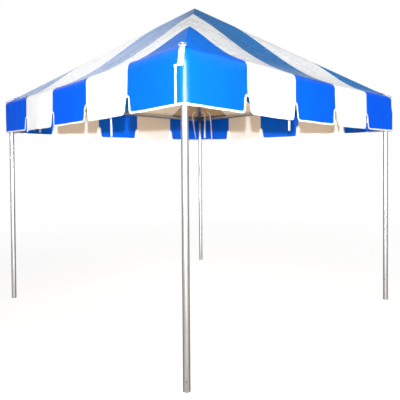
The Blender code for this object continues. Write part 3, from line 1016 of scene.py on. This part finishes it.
# over each closure the roof's hem runs on down, with a bound lower edge
def flapSpot(along, height, lift):
    z = valance["flapFoot"] + height
    lift -= 0.0042 * smoothStep(z, eaveHeight - 0.004, eaveHeight + 0.001)
    beyond = max(along - legAxis, 0.0)
    angle = beyond / cornerRound
    radius = cornerRound + lift
    x = min(along, legAxis) + radius * math.sin(angle)
    return Vector((x, -legAxis - radius * math.cos(angle), z))


def flapGrid(name, rows, lift, longer=0.0):
    start, steps = closure["flapFrom"] - longer, closure["flapSteps"]
    reach = closure["flapTo"] - closure["flapFrom"] + longer * 2
    return stripGrid(
        name, steps, len(rows) - 1,
        lambda column, row: flapSpot(start + reach * column / steps, rows[row], lift),
        lambda column, row: (reach * column / steps, rows[row]),
    )


flapRows = (0.0, 0.004, 0.014, 0.026, 0.036, 0.041, 0.0455, closure["flapDrop"])
flap = flapGrid("flap", flapRows, closure["flapLift"])
thicken(flap, canopy["cloth"])
flapTape = flapGrid("flap tape", (-0.0014, -0.0008, 0.004, 0.008, valance["tapeWidth"]),
                    lift=0.0016, longer=0.002)
thickenTape(flapTape)
cloths = copyRound(flap, "roof_flap_", sideMaterials[0])
edges = copyRound(flapTape, "roof_flap_binding_", bindingTape)

# white facing under each corner of the roof, painted tan as the shade under the roof
facing = {"from": 0.975, "to": 1.452, "gap": 0.0022, "rows": 18, "columns": 14, "thickness": 0.0010,
          "slopeCosine": 0.83, "uvSteps": (0.036, 0.030)}


def facingHalf(quarter, hand):
    side = -1 if hand else 1

    def spot(column, row):
        outward = facing["from"] + (facing["to"] - facing["from"]) * row / facing["rows"]
        low = outerSeam + 0.006
        across = side * (low + (outward - low) * column / facing["columns"])
        below = canopy["cloth"] / facing["slopeCosine"] + facing["gap"]
        height = clothHeight(across, outward, quarter + hand) - below
        return quarterTurn((across, -outward, height), quarter + hand)

    wide, high = facing["uvSteps"]
    half = stripGrid("facing", facing["columns"], facing["rows"], spot,
                     lambda column, row: (column * wide, row * high))
    half.data.materials.append(shadedFacingCloth)
    if half.data.polygons[0].normal.z > 0:
        editAll(bpy.ops.mesh.flip_normals)
    return half


for quarter, cornerName in enumerate(cornerNames):
    halves = [facingHalf(quarter, hand) for hand in (0, 1)]
    whole = joinPieces(halves, "corner_facing_" + cornerName, 0.0005)
    thicken(whole, facing["thickness"])
    finishPiece(whole)


print("ties")
# webbing ties, sewn under the slope just inside the rails, hang free
ties = {
    "width": 0.025,
    "thickness": 0.0014,
    "sewnFrom": 1.352,
    "sewnSteps": 5,
    "hangAt": 1.408,
    "hangSteps": 14,
    "below": 0.0045,  # under the cloth where it is sewn
    "uneven": 0.012,  # no two are alike in length, bow, curl and twist
    "bow": 0.005,
    "curl": 0.006,
    "twist": 0.9,
    "foot": (1.905, 1.905, 1.892, 1.892),  # most on the front and right are tucked up shorter
    # for each side, each tie's place along it and how far its foot leans; two have their own height
    # of foot and are turned
    "sets": (
        ((-1.280, 0.010), (-1.172, 0.034), (0.498, 0.002, 1.735, 0.1), (1.180, -0.012), (1.268, 0.006)),
        ((-1.262, -0.006), (-1.176, 0.012), (-0.240, 0.006, 1.778, 1.1), (1.170, -0.030), (1.284, 0.004)),
        ((1.294, 0.006), (1.186, -0.038), (-1.246, 0.010)),
        ((-1.257, -0.064), (1.147, 0.012), (1.232, -0.008), (1.300, 0.002)),
    ),
}


def addTies(quarter):
    made, total = [], 0.0
    sewn, hung = ties["sewnSteps"], ties["hangSteps"]
    for number, tie in enumerate(ties["sets"][quarter]):
        place, lean, foot, turned = (*tie, ties["foot"][quarter], 0.0)[:4]
        points = []
        for k in range(sewn + 1):
            outward = ties["sewnFrom"] + (ties["hangAt"] - ties["sewnFrom"]) * k / sewn
            under = clothHeight(place, outward, quarter) - canopy["cloth"] - ties["below"]
            points.append(Vector((place, outward, under)))
        top = points[-1].z
        drop = top - foot - ties["uneven"] * math.sin(number * 2.4 + quarter)
        for k in range(1, hung + 1):
            share = k / hung
            bow = ties["bow"] * math.sin(share * math.pi) * math.sin(number * 2.3 + quarter)
            curl = ties["curl"] * share * share * math.cos(number * 1.7 + quarter)
            outward = ties["hangAt"] + 0.004 * min(share * 8, 1) + curl
            points.append(Vector((place + lean * share + bow, outward, top - drop * share)))
        run = runLengths(points)
        total += run[-1]

        def spot(column, row):
            point = points[column]
            share = max(column - sewn, 0) / hung
            swing = ties["twist"] * share * share * math.sin(number * 2.9 + 1.7 * quarter + 0.4)
            twist = turned * min(share * 3, 1) + swing
            side = (row / 2 - 0.5) * ties["width"]
            along, outward = point.x + side * math.cos(twist), point.y + side * math.sin(twist)
            return quarterTurn((along, -outward, point.z), quarter)

        made.append(stripGrid("tie", len(points) - 1, 2, spot,
                              lambda column, row: (run[column], row / 2 * ties["width"])))
    whole = joinPieces(made, "hanging_ties_" + sideNames[quarter])
    thicken(whole, ties["thickness"], 0)
    finishPiece(whole, [webbing], 50)


for quarter in range(4):
    addTies(quarter)


print("pins")
# a steel pin with a ring locks each tube to its fitting
pins = {"radius": 0.004, "half": 0.0300, "head": 0.0078, "headDepth": 0.0035, "ring": 0.0105,
        "ringWire": 0.0012, "legDown": 0.105, "railOut": 0.120, "rafterOut": 0.150, "rafterEnd": 0.150}
deselectAll()
bpy.ops.mesh.primitive_cylinder_add(vertices=16, radius=pins["radius"], depth=pins["half"] * 2,
                                    rotation=(0, quarterAngle, 0))
pinBody = newPiece("pin_body")
bpy.ops.object.transform_apply()
pinBody.data.polygons.foreach_set("select", [p.normal.x > 0.9 for p in pinBody.data.polygons])
bpy.ops.object.mode_set(mode="EDIT")
bpy.ops.mesh.select_mode(type="FACE")
grow = pins["head"] / pins["radius"]
for step, size in ((0.0, grow), (pins["headDepth"] * 0.6, 1.0), (pins["headDepth"] * 0.4, 0.7)):
    bpy.ops.mesh.extrude_region_move(TRANSFORM_OT_translate={"value": (step, 0, 0)})
    bpy.ops.transform.resize(value=(1, size, size))
bpy.ops.object.mode_set(mode="OBJECT")
bpy.ops.mesh.primitive_torus_add(
    major_radius=pins["ring"], minor_radius=pins["ringWire"], major_segments=20, minor_segments=6,
    location=(-pins["half"] + 0.002, 0, -pins["ring"]), rotation=(0, quarterAngle, 0))
pinRing = newPiece("pin_ring")
bpy.ops.object.transform_apply()
pinModel = joinPieces([pinBody, pinRing], "pin_model")
pinModel.data.materials.append(pinSteel)


def pinAt(place, axis, quarter):
    # place and axis are the front right corner's, and are carried round
    useOnly(pinModel)
    bpy.ops.object.duplicate()
    pin = newPiece("pin")
    aim = quarterTurn(axis, quarter).to_track_quat("X", "Z").to_matrix().to_4x4()
    pin.matrix_world = Matrix.Translation(quarterTurn(place, quarter)) @ aim
    bpy.ops.object.transform_apply()
    return pin


def finishPins(made, name):
    finishPiece(joinPieces(made, "frame_pins_" + name))


hipWay = Vector((-1, 1, canopy["slope"])).normalized()
crown = Vector((0, 0, canopy["railHeight"] + canopy["slope"] * legAxis))
middle = Vector((legAxis, -legAxis, canopy["railHeight"]))
pinSpots = (
    (middle - Vector((0, 0, pins["legDown"])), (-1, 1, 0)),
    (middle + Vector((-pins["railOut"], 0, 0)), (0, 1, 0)),
    (middle + Vector((0, pins["railOut"], 0)), (-1, 0, 0)),
    (middle + hipWay * pins["rafterOut"], (1, 1, 0)),
)
crownSpot = crown - hipWay * pins["rafterEnd"]
crownPins = []
for quarter, cornerName in enumerate(cornerNames):
    finishPins([pinAt(place, way, quarter) for place, way in pinSpots], cornerName)
    crownPins.append(pinAt(crownSpot, (1, 1, 0), quarter))
finishPins(crownPins, "crown")
useOnly(pinModel)
bpy.ops.object.delete()

print("ready")
